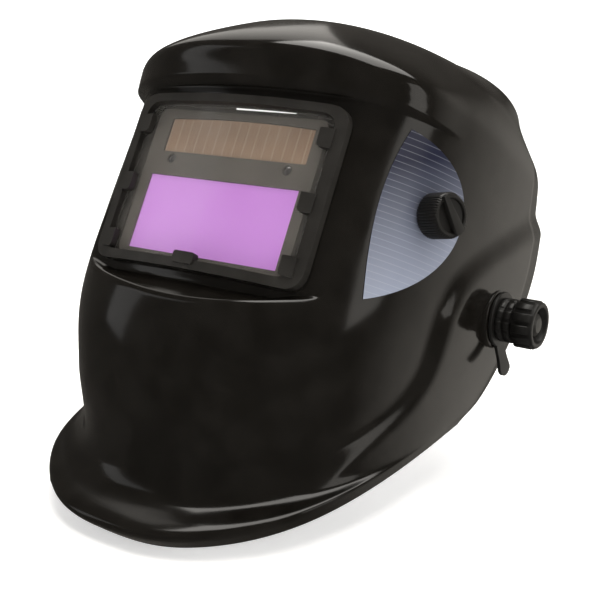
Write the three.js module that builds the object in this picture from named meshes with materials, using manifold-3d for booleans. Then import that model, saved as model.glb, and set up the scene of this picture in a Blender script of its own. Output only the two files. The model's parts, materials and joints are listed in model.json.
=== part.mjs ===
// Auto-darkening welding helmet, tipped back so that it stands on its chin lip and its head gear.
// Millimetres, +Z up, the window faces -Y, the wearer's left side is +X.
import * as THREE from 'three'
import { mergeVertices } from 'three/addons/utils/BufferGeometryUtils.js'
import Module from 'manifold-3d'

// ---------------------------------------------------------------- driving dimensions
const LEAN = THREE.MathUtils.degToRad(29.4) // the window leans back this far
const WALL = 3.2 // shell wall, measured along a section
// Side view of the shell's middle line: [share of the way from lip rim to rear rim, y, z].
const MIDDLE_LINE = [
  [0, -80, -150], // lip rim
  [0.06, -90, -140], // the lip turns out
  [0.14, -68, -130], // root of the lip
  [0.32, -57, -84], // chin
  [0.5, -40, -38], // sill under the window
  [0.77, 30, 78], // brow
  [0.81, 34, 90], // the brow turns back
  [0.88, 72, 102], // forehead rolls over
  [1, 153, 84], // rear rim of the crown
]
// Side view of the shell's rear edge, in the same form.
const REAR_EDGE = [
  [0, 85, -120], // end of the lip rim
  [0.15, 105, -113], // jaw corner
  [0.5, 147, -54], // below the ear
  [0.82, 161, 12], // above the ear
  [1, 155, 40], // end of the rear rim
]
// Half width and squareness of the U-shaped sections at the lip, the brow and the rear rim.
const HALF_WIDTH = { lip: 103, brow: 117, rear: 105 }
const SQUARENESS = { lip: 2.45, brow: 3, rear: 2.1 }
const SAG = { lip: 5, chin: 1.8 } // how far a section's leg bows down
// Side view (y, z) of the step that raises the ear panel and the lip flange.
const STEP_LINE = [[190, -12], [90, -24], [56, -44], [40, -82], [8, -104], [-70, -136]]
const STEP_HEIGHT = 5
const STEP_WIDTH = 13
const PANEL_RADIUS = 295 // the recessed window panel is part of an upright cylinder
const PANEL_FRONT = 7 // its crown stands this far in front of the filter glass
const BROW_UP = 74 // brow rim above the filter centre, along the window
const BROW_OUT = 6 // how far the brow stands out
const LEDGE_TOP = -37 // where the sill under the window meets the panel
const LEDGE_LIP = -47 // centre of the sill's rim
const LEDGE_RISE = 16 // the rim climbs this much by LEDGE_HALF
const LEDGE_HALF = 80
const ROW_LEDGE = 0.46 // rows of the surface that carry the sill rim and the brow rim
const ROW_BROW = 0.74
const COLUMN_CREASE = 0.55 // column that carries the crease beside the panel

const APERTURE = { x: 60, low: -27, high: 62 }
const LENS = { x: 63, low: -25.5, high: 62, thick: 1.6, corner: 9 }
const FRAME = { x: 69.6, low: -31, high: 67, deep: 5.2, corner: 11 }
const CARTRIDGE = { x: 57, low: -25.5, high: 60.5, front: 1, back: -21, corner: 6 }
const GLASS = { x: 50, half: 21.5 }
const SOLAR = { left: -46.6, right: 49.3, low: 35.8, high: 56.4 }
const SENSOR = { x: 39.2, up: 31.4, radius: 2.6 }

const PIVOT = { y: 105, z: -60, pad: 120.9, padRadius: 17, bore: 4.3 }
const KNOB = { radius: 13.8, ribs: 12, length: 13 }
const DIAL = { y: 50, z: 6.5, radius: 11.8, height: 14 }
const HEAD_TILT = THREE.MathUtils.degToRad(19.5) // head gear, rear end down

const SHELL_ROWS = [17, 13] // lip to sill rim, brow to rear rim
const PANEL_ROWS = [0.035, 0.07, 0.1, 0.13, 0.3, 0.55, 0.78, 1] // between sill rim and brow rim
const SHELL_COLUMNS = [9, 9] // centre to crease, crease to rear edge

// ---------------------------------------------------------------- small tools
const wasm = await Module()
wasm.setup()

function clamp01(x) {
  return Math.min(1, Math.max(0, x))
}

function smooth(a, b, x) {
  const t = clamp01((x - a) / (b - a))
  return t * t * (3 - 2 * t)
}

// Cubic through the points (xs, ys), slopes weighted by spacing.
function curveThrough(xs, ys) {
  const n = xs.length
  const h = xs.slice(1).map((x, i) => x - xs[i])
  const d = h.map((w, i) => (ys[i + 1] - ys[i]) / w)
  const m = ys.map((_, i) => {
    if (i === 0) return d[0]
    if (i === n - 1) return d[n - 2]
    return (d[i - 1] * h[i] + d[i] * h[i - 1]) / (h[i - 1] + h[i])
  })
  return (x) => {
    let i = 0
    while (i < n - 2 && x >= xs[i + 1]) i++
    const t = (x - xs[i]) / h[i]
    const u = 1 - t
    const ends = ys[i] * (1 + 2 * t) * u * u + ys[i + 1] * t * t * (3 - 2 * t)
    return ends + m[i] * h[i] * t * u * u - m[i + 1] * h[i] * t * t * u
  }
}

// The x where f changes sign between a and b.
function root(f, a, b) {
  for (let i = 0; i < 24; i++) {
    const m = (a + b) / 2
    if (f(m) > 0) b = m
    else a = m
  }
  return (a + b) / 2
}

function steps(a, b, n) {
  return Array.from({ length: n }, (_, i) => a + ((b - a) * i) / (n - 1))
}

function merged(geometry) {
  const g = geometry.clone()
  for (const name of Object.keys(g.attributes)) {
    if (name !== 'position') g.deleteAttribute(name)
  }
  return mergeVertices(g, 1e-4)
}

function solid(geometry, matrix) {
  const g = merged(geometry)
  if (matrix) g.applyMatrix4(matrix)
  const vertProperties = new Float32Array(g.attributes.position.array)
  const triVerts = new Uint32Array(g.index.array)
  return new wasm.Manifold(new wasm.Mesh({ numProp: 3, vertProperties, triVerts }))
}

function surfaceOf(manifold) {
  const mesh = manifold.getMesh()
  const g = new THREE.BufferGeometry()
  g.setAttribute('position', new THREE.BufferAttribute(new Float32Array(mesh.vertProperties), 3))
  g.setIndex(new THREE.BufferAttribute(new Uint32Array(mesh.triVerts), 1))
  const flat = g.toNonIndexed()
  flat.computeVertexNormals()
  return flat
}

// Closed wall between two equal grids of points, the first one outside.
function slab(outer, inner) {
  const rows = outer.length
  const cols = outer[0].length
  const position = []
  const quad = (a, b, c, d) => {
    position.push(...a, ...b, ...c, ...a, ...c, ...d)
  }
  for (let i = 0; i < rows - 1; i++) {
    for (let j = 0; j < cols - 1; j++) {
      quad(outer[i][j], outer[i][j + 1], outer[i + 1][j + 1], outer[i + 1][j])
      quad(inner[i][j], inner[i + 1][j], inner[i + 1][j + 1], inner[i][j + 1])
    }
  }
  for (let j = 0; j < cols - 1; j++) {
    quad(inner[0][j], inner[0][j + 1], outer[0][j + 1], outer[0][j])
    const k = rows - 1
    quad(outer[k][j], outer[k][j + 1], inner[k][j + 1], inner[k][j])
  }
  for (let i = 0; i < rows - 1; i++) {
    quad(outer[i][0], outer[i + 1][0], inner[i + 1][0], inner[i][0])
    const k = cols - 1
    quad(inner[i][k], inner[i + 1][k], outer[i + 1][k], outer[i][k])
  }
  const g = new THREE.BufferGeometry()
  g.setAttribute('position', new THREE.Float32BufferAttribute(position, 3))
  g.computeVertexNormals()
  return g
}

function matt(color, roughness, metalness = 0) {
  return new THREE.MeshStandardMaterial({ color, roughness, metalness })
}

function piece(name, geometry, material) {
  const mesh = new THREE.Mesh(geometry, material)
  mesh.name = name
  return mesh
}

// Rounded rectangle, optionally with other corner radii at the top.
function plate(x0, x1, y0, y1, r, rTop = r) {
  const s = new THREE.Shape()
  s.moveTo(x0 + r, y0)
  s.lineTo(x1 - r, y0)
  s.quadraticCurveTo(x1, y0, x1, y0 + r)
  s.lineTo(x1, y1 - rTop)
  s.quadraticCurveTo(x1, y1, x1 - rTop, y1)
  s.lineTo(x0 + rTop, y1)
  s.quadraticCurveTo(x0, y1, x0, y1 - rTop)
  s.lineTo(x0, y0 + r)
  s.quadraticCurveTo(x0, y0, x0 + r, y0)
  return s
}

function extrude(shape, depth, curveSegments = 3) {
  return new THREE.ExtrudeGeometry(shape, { depth, bevelEnabled: false, curveSegments })
}

// Turned solid about +X: profile of [along x, radius].
function turned(profile, segments = 24) {
  const points = profile.map(([x, r]) => new THREE.Vector2(r, x))
  const g = new THREE.LatheGeometry(points, segments)
  return g.rotateZ(-Math.PI / 2)
}

// ---------------------------------------------------------------- shell surface
const out = { y: -Math.cos(LEAN), z: Math.sin(LEAN) } // out of the window
const up = { y: Math.sin(LEAN), z: Math.cos(LEAN) } // up along the window

const edgeLine = (rows, k) => curveThrough(rows.map((row) => row[0]), rows.map((row) => row[k]))
const middleY = edgeLine(MIDDLE_LINE, 1)
const middleZ = edgeLine(MIDDLE_LINE, 2)
const rearY = edgeLine(REAR_EDGE, 1)
const rearZ = edgeLine(REAR_EDGE, 2)

function halfWidth(v) {
  const { lip, brow, rear } = HALF_WIDTH
  return lip + (brow - lip) * smooth(0.02, 0.6, v) - (brow - rear) * smooth(0.78, 1.04, v)
}

function squareness(v) {
  const { lip, brow, rear } = SQUARENESS
  return lip + (brow - lip) * smooth(0.18, 0.5, v) - (brow - rear) * smooth(0.76, 0.9, v)
}

function sagAt(v) {
  const aboveLip = smooth(0, 0.15, v)
  return SAG.lip * (1 - aboveLip) + SAG.chin * aboveLip * (1 - smooth(0.6, 0.85, v))
}

function across(p) {
  return p[1] * out.y + p[2] * out.z
}

function along(p) {
  return p[1] * up.y + p[2] * up.z
}

function moveOut(p, d) {
  p[1] += d * out.y
  p[2] += d * out.z
}

// Plain U-shaped section at station v, t = 0 in front and 1 at the rear end; inset moves it in.
function plainPoint(v, t, inset) {
  const [fy, fz, ey, ez] = [middleY(v), middleZ(v), rearY(v), rearZ(v)]
  const square = squareness(v)
  const length = Math.hypot(fy - ey, fz - ez)
  const uy = (fy - ey) / length
  const uz = (fz - ez) / length
  const c = Math.pow(Math.cos((t * Math.PI) / 2), 2 / square)
  const s = Math.pow(Math.sin((t * Math.PI) / 2), 2 / square)
  const reach = (length - inset) * c
  const g = 4 * c * (1 - c) * sagAt(v)
  return [(halfWidth(v) - inset) * s, ey + uy * reach + g * uz, ez + uz * reach - g * uy]
}

function ledgeRim(x) {
  return LEDGE_LIP + LEDGE_RISE * Math.min(x / LEDGE_HALF, 1.3) ** 2
}

const stepCurve = new THREE.SplineCurve(STEP_LINE.map(([y, z]) => new THREE.Vector2(y, z)))
const STEP_POINTS = stepCurve.getPoints(60)

// Distance from the step line in side view, positive on its lower and rear side.
function beyondStep(y, z) {
  let best = Infinity
  let side = 1
  for (let i = 0; i < STEP_POINTS.length - 1; i++) {
    const a = STEP_POINTS[i]
    const b = STEP_POINTS[i + 1]
    const dx = b.x - a.x
    const dy = b.y - a.y
    const t = clamp01(((y - a.x) * dx + (z - a.y) * dy) / (dx * dx + dy * dy))
    const qx = y - a.x - t * dx
    const qy = z - a.y - t * dy
    const d = Math.hypot(qx, qy)
    if (d < best) {
      best = d
      side = Math.sign(dx * qy - dy * qx) || 1
    }
  }
  return best * side
}

// Station for a surface row, so that the sill rim and the brow rim each follow one row.
function station(row, t, inset) {
  const brow = (v) => along(plainPoint(v, t, inset)) - BROW_UP - inset
  const ledge = (v) => {
    const p = plainPoint(v, t, inset)
    return along(p) + inset - ledgeRim(p[0])
  }
  const vLedge = root(ledge, 0.3, 0.7)
  const vBrow = root(brow, 0.55, 0.95)
  if (row < ROW_LEDGE) return (row / ROW_LEDGE) * vLedge
  if (row <= ROW_BROW) {
    return vLedge + ((row - ROW_LEDGE) / (ROW_BROW - ROW_LEDGE)) * (vBrow - vLedge)
  }
  return vBrow + ((row - ROW_BROW) / (1 - ROW_BROW)) * (1 - vBrow)
}

function panelFront(x, inset) {
  return PANEL_FRONT - inset - (x * x) / (2 * PANEL_RADIUS)
}

// Section parameter of the crease where the panel runs into the side wall.
function creaseAt(row, inset) {
  const r = Math.min(Math.max(row, ROW_LEDGE + 0.03), ROW_BROW - 0.001)
  const v = station(r, 0.58, inset)
  const gap = (t) => {
    const p = plainPoint(v, t, inset)
    return panelFront(p[0], inset) - across(p)
  }
  return root(gap, 0.2, 0.9)
}

// Point of the shell: row 0 (lip rim) to 1 (rear rim), col 0 (centre) to 1 (rear edge).
// over tells the upper side of the brow rim from the lower one.
function shellPoint(row, col, over, inset) {
  const crease = creaseAt(row, inset)
  let t = (col / COLUMN_CREASE) * crease
  if (col > COLUMN_CREASE) {
    t = crease + ((col - COLUMN_CREASE) / (1 - COLUMN_CREASE)) * (1 - crease)
  }
  const v = Math.min(1, station(row, t, inset) + (over ? 0.002 : 0))
  const p = plainPoint(v, t, inset)
  const raised = smooth(-STEP_WIDTH / 2, STEP_WIDTH / 2, beyondStep(p[1], p[2]))
  p[0] += raised * STEP_HEIGHT * smooth(40, 90, p[0])
  if (over) {
    const back = across(p)
    const fade = 1 - smooth(BROW_UP + 10, BROW_UP + 50, along(p))
    const k = BROW_OUT * fade * smooth(-50, -8, back)
    const r = Math.hypot(p[0], back + 60)
    p[0] += (k * p[0]) / r
    moveOut(p, (k * (back + 60)) / r)
  } else {
    const rim = ledgeRim(p[0]) - inset
    const sill = clamp01((along(p) - rim) / Math.max(LEDGE_TOP - inset - rim, 3))
    moveOut(p, -Math.max(across(p) - panelFront(p[0], inset), 0) * sill)
  }
  return p
}

function mirrored(line) {
  const left = line.slice(1).reverse().map(([x, y, z]) => [-x, y, z])
  return [...left, ...line]
}

const COLS = [
  ...steps(0, COLUMN_CREASE, SHELL_COLUMNS[0]),
  ...steps(COLUMN_CREASE, 1, SHELL_COLUMNS[1]).slice(1),
]
const LOW_ROWS = [
  ...steps(0, ROW_LEDGE, SHELL_ROWS[0]),
  ...PANEL_ROWS.map((f) => ROW_LEDGE + f * (ROW_BROW - ROW_LEDGE)),
]
const HIGH_ROWS = steps(ROW_BROW, 1, SHELL_ROWS[1])

function shellGrid(inset) {
  const line = (row, over) => mirrored(COLS.map((col) => shellPoint(row, col, over, inset)))
  return [...LOW_ROWS.map((r) => line(r, false)), ...HIGH_ROWS.map((r) => line(r, true))]
}

const outerGrid = shellGrid(0)
const innerGrid = shellGrid(WALL)
const shellSolid = solid(slab(outerGrid, innerGrid))

// ---------------------------------------------------------------- shell with its bosses and holes
const windowFrame = new THREE.Matrix4().makeRotationX(Math.PI / 2 - LEAN)

function movedTo(x, y, z) {
  return new THREE.Matrix4().makeTranslation(x, y, z)
}

// Nearest surface point and outward normal on the wearer's left side for a side-view position.
function sideSeat(y, z) {
  let best = null
  for (const row of steps(0.3, ROW_BROW - 0.02, 60)) {
    for (const col of steps(0.6, 0.95, 40)) {
      const p = shellPoint(row, col, false, 0)
      const d = Math.hypot(p[1] - y, p[2] - z)
      if (!best || d < best.d) best = { d, row, col, p }
    }
  }
  const at = (r, c) => new THREE.Vector3(...shellPoint(r, c, false, 0))
  const e = 0.01
  const alongRow = at(best.row, best.col + e).sub(at(best.row, best.col - e))
  const alongCol = at(best.row + e, best.col).sub(at(best.row - e, best.col))
  const normal = alongRow.cross(alongCol).normalize()
  return { point: new THREE.Vector3(...best.p), normal }
}

const seat = sideSeat(DIAL.y, DIAL.z)
const dialFrame = new THREE.Matrix4().compose(
  seat.point,
  new THREE.Quaternion().setFromUnitVectors(new THREE.Vector3(1, 0, 0), seat.normal),
  new THREE.Vector3(1, 1, 1),
)

function rodX(x0, x1, r, segments = 24) {
  return turned([[x0, 0], [x0, r], [x1, r], [x1, 0]], segments)
}

function bothSides(geometry, matrix) {
  const right = solid(geometry, matrix)
  return right.add(solid(mirrorX(geometry), mirrorMatrix(matrix)))
}

function mirrorX(geometry) {
  const g = geometry.index ? geometry.toNonIndexed() : geometry.clone()
  const a = g.attributes.position.array
  for (let i = 0; i < a.length; i += 9) {
    for (let k = 0; k < 3; k++) {
      const swap = a[i + 3 + k]
      a[i + 3 + k] = a[i + 6 + k]
      a[i + 6 + k] = swap
    }
  }
  for (let i = 0; i < a.length; i += 3) a[i] = -a[i]
  g.computeVertexNormals()
  return g
}

function mirrorMatrix(matrix) {
  const e = matrix.elements
  return movedTo(-e[12], e[13], e[14])
}

const pivotPlace = movedTo(0, PIVOT.y, PIVOT.z)
const boss = rodX(PIVOT.pad - WALL - 3.6, PIVOT.pad, PIVOT.padRadius, 28)
const pivotBore = rodX(100, 130, PIVOT.bore)
const aperture = extrude(
  plate(-APERTURE.x, APERTURE.x, APERTURE.low, APERTURE.high, 6),
  40,
).translate(0, 0, -20)

const shellBody = shellSolid
  .add(bothSides(boss, pivotPlace))
  .subtract(bothSides(pivotBore, pivotPlace))
  .subtract(solid(aperture, windowFrame))
  .subtract(solid(rodX(-12, 12, 4), dialFrame))

// ---------------------------------------------------------------- window assembly
// Sheet that follows the window panel between two heights above it.
function panelSheet(halfWide, low, high, from, to, columns = 15) {
  const xs = steps(-halfWide, halfWide, columns)
  const level = (d) => [low, high].map((y) => xs.map((x) => [x, y, panelFront(x, 0) + d]))
  return slab(level(to), level(from))
}

function outline(box, grow, depth = 60) {
  const { x, low, high, corner } = box
  const shape = plate(-x - grow, x + grow, low - grow, high + grow, corner + grow)
  return extrude(shape, depth, 5).translate(0, 0, -depth / 2)
}

const lensSolid = solid(outline(LENS, 0)).intersect(
  solid(panelSheet(80, -60, 90, 0.3, 0.3 + LENS.thick)),
)

// One retaining clip: flat outer end, rounded inner end.
function clip(x, y, width, reach) {
  const s = new THREE.Shape()
  s.moveTo(x, y - width / 2)
  s.lineTo(x, y + width / 2)
  s.lineTo(x - reach, y + width / 2)
  s.lineTo(x - reach, y - width / 4)
  s.quadraticCurveTo(x - reach, y - width / 2, x - reach + width / 4, y - width / 2)
  s.closePath()
  return extrude(s, 60, 4).translate(0, 0, -30)
}

const CLIP_HEIGHTS = [49, 14, -19.5]
const clipLevel = solid(panelSheet(80, -60, 90, LENS.thick + 0.6, FRAME.deep + 1))
let windowRing = solid(outline(FRAME, 0))
  .subtract(solid(outline(LENS, 0.3)))
  .intersect(solid(panelSheet(80, -60, 90, 0.3, FRAME.deep)))
for (const y of CLIP_HEIGHTS) {
  const right = clip(LENS.x + 1.5, y, 10.5, 8)
  windowRing = windowRing
    .add(solid(right).intersect(clipLevel))
    .add(solid(mirrorX(right)).intersect(clipLevel))
}
const thumbTab = extrude(plate(-7, 7, LENS.low - 3, LENS.low + 3.4, 1.5), 60).translate(0, 0, -30)
windowRing = windowRing.add(solid(thumbTab).intersect(clipLevel))

function block(x0, x1, y0, y1, z0, z1) {
  const g = new THREE.BoxGeometry(x1 - x0, y1 - y0, z1 - z0)
  return g.translate((x0 + x1) / 2, (y0 + y1) / 2, (z0 + z1) / 2)
}

const middle = (CARTRIDGE.low + CARTRIDGE.high) / 2
const TRAY = { x0: -CARTRIDGE.x, x1: -36, y0: 31, y1: 53, z0: -17.5, z1: -11.5 }
const BACK_DIAL = { x: 27, y: 42, radius: 7 }
const solarBow = new THREE.Shape()
solarBow.moveTo(SOLAR.left, SOLAR.low)
solarBow.lineTo(SOLAR.right, SOLAR.low)
solarBow.lineTo(SOLAR.right, SOLAR.high - 1.6)
solarBow.quadraticCurveTo(0, SOLAR.high + 1.6, SOLAR.left, SOLAR.high - 1.6)
solarBow.closePath()

function grown(s, by) {
  return s.scale(1 + (2 * by) / 96, 1 + (2 * by) / 20, 1)
}

const thickness = CARTRIDGE.front - CARTRIDGE.back
const caseBlock = outline(CARTRIDGE, 0, thickness).translate(0, 0, CARTRIDGE.back + thickness / 2)
const { x: glassX, half: glassY } = GLASS
const solarMiddle = (SOLAR.low + SOLAR.high) / 2
const solarPocket = grown(extrude(solarBow, 8, 6).translate(0, -solarMiddle, -1.2), 0.35)
let caseBody = solid(caseBlock)
  .subtract(solid(block(-glassX - 0.3, glassX + 0.3, -glassY - 0.3, glassY + 0.3, -3.2, 9)))
  .subtract(solid(block(-glassX + 3, glassX - 3, -glassY + 2, glassY - 2, -40, 0)))
  .subtract(solid(solarPocket, movedTo(0, solarMiddle, 0)))
  .subtract(solid(block(-70, TRAY.x1 + 0.4, TRAY.y0 - 0.4, TRAY.y1 + 0.4, TRAY.z0 - 0.4, TRAY.z1 + 0.4)))
const pinZ = (r, z0, z1, segments = 20) => rodX(z0, z1, r, segments).rotateY(-Math.PI / 2)
for (const side of [-1, 1]) {
  caseBody = caseBody
    .subtract(solid(pinZ(SENSOR.radius + 0.35, -1, 9), movedTo(side * SENSOR.x, SENSOR.up, 0)))
    .subtract(
      solid(pinZ(3.3, CARTRIDGE.back - 9, CARTRIDGE.back + 5), movedTo(side * BACK_DIAL.x, BACK_DIAL.y, 0)),
    )
}

const ringBlock = outline({ x: 66, low: -30, high: 65, corner: 9 }, 0, 4.5).translate(0, 0, -6.75)
let retainer = solid(ringBlock).subtract(solid(outline(CARTRIDGE, 0.5)))
for (const side of [-1, 1]) {
  const a = side * (CARTRIDGE.x + 0.6)
  const b = side * (CARTRIDGE.x + 4)
  const c = side * (CARTRIDGE.x - 4)
  const arm = block(Math.min(a, b), Math.max(a, b), 2, 18, CARTRIDGE.back - 3, -5)
  const hook = block(Math.min(b, c), Math.max(b, c), 2, 18, CARTRIDGE.back - 3, CARTRIDGE.back - 0.5)
  retainer = retainer.add(solid(arm)).add(solid(hook))
}

function backDial() {
  const grip = pinZ(BACK_DIAL.radius, CARTRIDGE.back - 6, CARTRIDGE.back - 0.5, 20)
  const stem = pinZ(2.8, CARTRIDGE.back - 3, CARTRIDGE.back + 4, 16)
  const mark = block(-1, 1, 1, BACK_DIAL.radius + 1, CARTRIDGE.back - 8, CARTRIDGE.back - 4.6)
  return surfaceOf(solid(grip).add(solid(stem)).subtract(solid(mark)))
}

const black = matt('#26241f', 0.3)
const plastic = matt('#1d1c1a', 0.62)
const clear = new THREE.MeshStandardMaterial({
  color: '#eef2f2', roughness: 0.05, metalness: 0, transparent: true, opacity: 0.3,
})

const windowGroup = new THREE.Group()
windowGroup.rotation.x = Math.PI / 2 - LEAN
windowGroup.add(
  piece('window_frame', surfaceOf(windowRing), plastic),
  piece('outer_cover_lens', surfaceOf(lensSolid), clear),
  piece('cartridge_case', surfaceOf(caseBody), matt('#2a2927', 0.5)),
  piece('filter_glass', block(-glassX, glassX, -glassY, glassY, -2.7, 0), matt('#b877e0', 0.08)),
  piece('cartridge_retainer', surfaceOf(retainer), plastic),
)
const solarCell = piece('solar_cell', extrude(solarBow, 0.9, 6), matt('#8c7a69', 0.35))
solarCell.position.z = -0.8
windowGroup.add(solarCell)
for (const [name, side] of [['light_sensor_left', 1], ['light_sensor_right', -1]]) {
  const lensCap = [[-0.6, 0], [-0.6, SENSOR.radius], [0.5, SENSOR.radius], [1.1, 1.4], [1.3, 0]]
  const eye = piece(name, turned(lensCap, 16).rotateY(-Math.PI / 2), matt('#141316', 0.12))
  eye.position.set(side * SENSOR.x, SENSOR.up, 0)
  windowGroup.add(eye)
}
const innerLens = { x: 53, low: -24, high: 24, corner: 3 }
const innerPane = piece('inner_cover_lens', outline(innerLens, 0, 1.2), clear)
innerPane.position.z = CARTRIDGE.back - 1
windowGroup.add(innerPane)
for (const [name, side] of [['sensitivity_dial', 1], ['delay_dial', -1]]) {
  const dial = piece(name, backDial(), matt('#3a3936', 0.55))
  dial.position.set(side * BACK_DIAL.x, BACK_DIAL.y, 0)
  windowGroup.add(dial)
}
const trayBox = block(TRAY.x0 - 1.5, TRAY.x1, TRAY.y0, TRAY.y1, TRAY.z0, TRAY.z1)
const cellWell = pinZ(8, TRAY.z0 + 1.5, 0, 24).translate(TRAY.x0 + 11, (TRAY.y0 + TRAY.y1) / 2, 0)
windowGroup.add(
  piece('battery_tray', surfaceOf(solid(trayBox).subtract(solid(cellWell))), plastic),
)

// ---------------------------------------------------------------- shade dial on the side wall
// Built along +X from the seat on the shell and turned onto its normal.
function ridged(radius, depth, count, x0, x1) {
  const s = new THREE.Shape()
  const n = count * 2
  for (let i = 0; i < n; i++) {
    const r = i % 2 ? radius - depth : radius
    const a = (i / n) * Math.PI * 2
    if (i === 0) s.moveTo(r * Math.cos(a), r * Math.sin(a))
    else s.lineTo(r * Math.cos(a), r * Math.sin(a))
  }
  s.closePath()
  return extrude(s, x1 - x0).translate(0, 0, x0).rotateY(Math.PI / 2)
}

const dialGroup = new THREE.Group()
dialFrame.decompose(dialGroup.position, dialGroup.quaternion, dialGroup.scale)
const dialTop = 1.2 + DIAL.height
const pointer = new THREE.Shape()
pointer.moveTo(-3.2, -DIAL.radius + 1)
pointer.lineTo(3.2, -DIAL.radius + 1)
pointer.lineTo(1.6, DIAL.radius + 1.6)
pointer.lineTo(-1.6, DIAL.radius + 1.6)
pointer.closePath()
const pointerBar = extrude(pointer, 4.5).translate(0, 0, dialTop - 2.6).rotateY(Math.PI / 2)
const dialCup = turned([[dialTop - 1.6, 0], [dialTop - 1.6, 8.6], [30, 8.6], [30, 0]])
const dialBody = solid(ridged(DIAL.radius, 0.7, 30, 1.2, dialTop))
  .subtract(solid(dialCup))
  .add(solid(pointerBar.rotateX(0.55)))
  .subtract(solid(rodX(-5, 9.6, 3.4, 16)))
const inside = -WALL - 1.2
const hexagon = ridged(7.4, 0, 3, inside - 3.2, inside)
const nut = solid(hexagon).subtract(solid(rodX(inside - 9, 9, 3.6, 16)))
const canLid = inside - 3.6
dialGroup.add(
  piece('shade_dial', surfaceOf(dialBody), plastic),
  piece('shade_dial_shaft', rodX(canLid + 0.4, 9.2, 3, 16), matt('#b9b9bb', 0.3, 1)),
  piece('shade_dial_nut', surfaceOf(nut), matt('#b9b9bb', 0.3, 1)),
  piece('shade_sensor_can', rodX(canLid - 9, canLid, 8.4, 20), matt('#6d6f72', 0.4, 0.8)),
)

// Ribbon cord from the can to the cartridge side.
dialGroup.updateMatrixWorld(true)
windowGroup.updateMatrixWorld(true)
const cordStart = new THREE.Vector3(canLid - 9.5, 0, 0).applyMatrix4(dialGroup.matrixWorld)
const cordOut = new THREE.Vector3(canLid - 15, 0, 2).applyMatrix4(dialGroup.matrixWorld)
const cordIn = new THREE.Vector3(CARTRIDGE.x + 8, 45, -15).applyMatrix4(windowGroup.matrixWorld)
const cordEnd = new THREE.Vector3(CARTRIDGE.x + 0.5, 45, -15).applyMatrix4(windowGroup.matrixWorld)
const cordPath = new THREE.CatmullRomCurve3([cordStart, cordOut, cordIn, cordEnd])
const cordShape = new THREE.Shape().absarc(0, 0, 1.4, 0, Math.PI * 2)
const cord = new THREE.ExtrudeGeometry(cordShape, {
  steps: 16, extrudePath: cordPath, bevelEnabled: false, curveSegments: 5,
})

// ---------------------------------------------------------------- printed side panels
// Side view (y, z) of the print: two round stretches and a slightly hollow front edge.
function printOutline() {
  const s = new THREE.Shape()
  s.moveTo(4, -30)
  s.bezierCurveTo(34, -30, 74, -20, 75, 10)
  s.bezierCurveTo(75, 26, 62, 40, 50, 49)
  s.bezierCurveTo(36, 34, 16, 6, 4, -30)
  return s
}

function printedPanel(side) {
  const first = LOW_ROWS.findIndex((r) => r >= ROW_LEDGE) - 1
  const rows = outerGrid.slice(first, LOW_ROWS.length)
  const middleCol = COLS.length - 1
  const nearCol = SHELL_COLUMNS[0] - 1
  const [a, b] = side > 0
    ? [middleCol + nearCol, middleCol + nearCol + 9]
    : [middleCol - nearCol - 8, middleCol - nearCol + 1]
  const cut = rows.map((row) => row.slice(a, b))
  const shifted = (d) => cut.map((row) => row.map(([x, y, z]) => [x + side * d, y, z]))
  const skin = solid(slab(shifted(0.75), shifted(0.32)))
  const g = extrude(printOutline(), 400, 10).translate(0, 0, -200)
  g.applyMatrix4(new THREE.Matrix4().set(0, 0, 1, 0, 1, 0, 0, 0, 0, 1, 0, 0, 0, 0, 0, 1))
  const label = skin.intersect(solid(g))
  if (side < 0) return surfaceOf(label)
  return surfaceOf(label.subtract(solid(rodX(-30, 30, 4.6, 20), dialFrame)))
}

// ---------------------------------------------------------------- pivots
const PLATE = { from: 0.5, to: 2.5, radius: 15.5, reach: 33 }

// Stop plate: a disc on the pivot with a finger tab below, the tab's end bent outward.
function stopPlate() {
  const disc = turned([
    [PLATE.from, PIVOT.bore], [PLATE.from, PLATE.radius],
    [PLATE.to, PLATE.radius], [PLATE.to, PIVOT.bore], [PLATE.from, PIVOT.bore],
  ])
  const side = new THREE.Shape()
  side.moveTo(PLATE.from, -8)
  side.lineTo(PLATE.to, -8)
  side.lineTo(PLATE.to, -19)
  side.lineTo(PLATE.to + 4, -PLATE.reach)
  side.lineTo(PLATE.to + 2, -PLATE.reach - 0.6)
  side.lineTo(PLATE.from, -19)
  side.closePath()
  const wide = 13
  const tab = extrude(side, wide).translate(0, 0, -wide / 2)
  tab.applyMatrix4(new THREE.Matrix4().set(1, 0, 0, 0, 0, 0, -1, 0, 0, 1, 0, 0, 0, 0, 0, 1))
  const slot = block(-5, 12, -1.2, 1.2, -29, -23.5)
  return solid(disc).add(solid(tab)).subtract(solid(slot))
}

const COLLAR = { from: 2.9, to: 11.2, radius: 12.4 }
const knobFrom = COLLAR.to + 0.4
const knobTo = knobFrom + KNOB.length

function knobBody() {
  const r = KNOB.radius
  const core = turned([
    [knobFrom, PIVOT.bore], [knobFrom, r - 1.4], [knobTo - 1.4, r - 1.4], [knobTo, r - 2.6],
    [knobTo, 8.6], [knobTo - 5, 8.2], [knobTo - 5, PIVOT.bore], [knobFrom, PIVOT.bore],
  ], 48)
  let body = solid(core)
  const rib = block(knobFrom + 0.8, knobTo - 1.8, -2.2, 2.2, r - 3, r)
  for (let i = 0; i < KNOB.ribs; i++) {
    const turn = new THREE.Matrix4().makeRotationX((i / KNOB.ribs) * Math.PI * 2)
    body = body.add(solid(rib, turn))
  }
  return body
}

const WASHER = { from: -WALL - 7, to: -WALL - 4, radius: 14.5 }
const boltHead = 86.2 - PIVOT.pad
const boltProfile = [
  [boltHead, 0], [boltHead + 0.6, 6.5], [boltHead + 3, 7.6], [boltHead + 4, 7.6],
  [boltHead + 4, 3.9], [knobTo - 4.6, 3.9], [knobTo - 4.6, 6.6], [knobTo - 2.4, 6.4],
  [knobTo - 0.9, 4.2], [knobTo - 0.5, 0],
]

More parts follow.
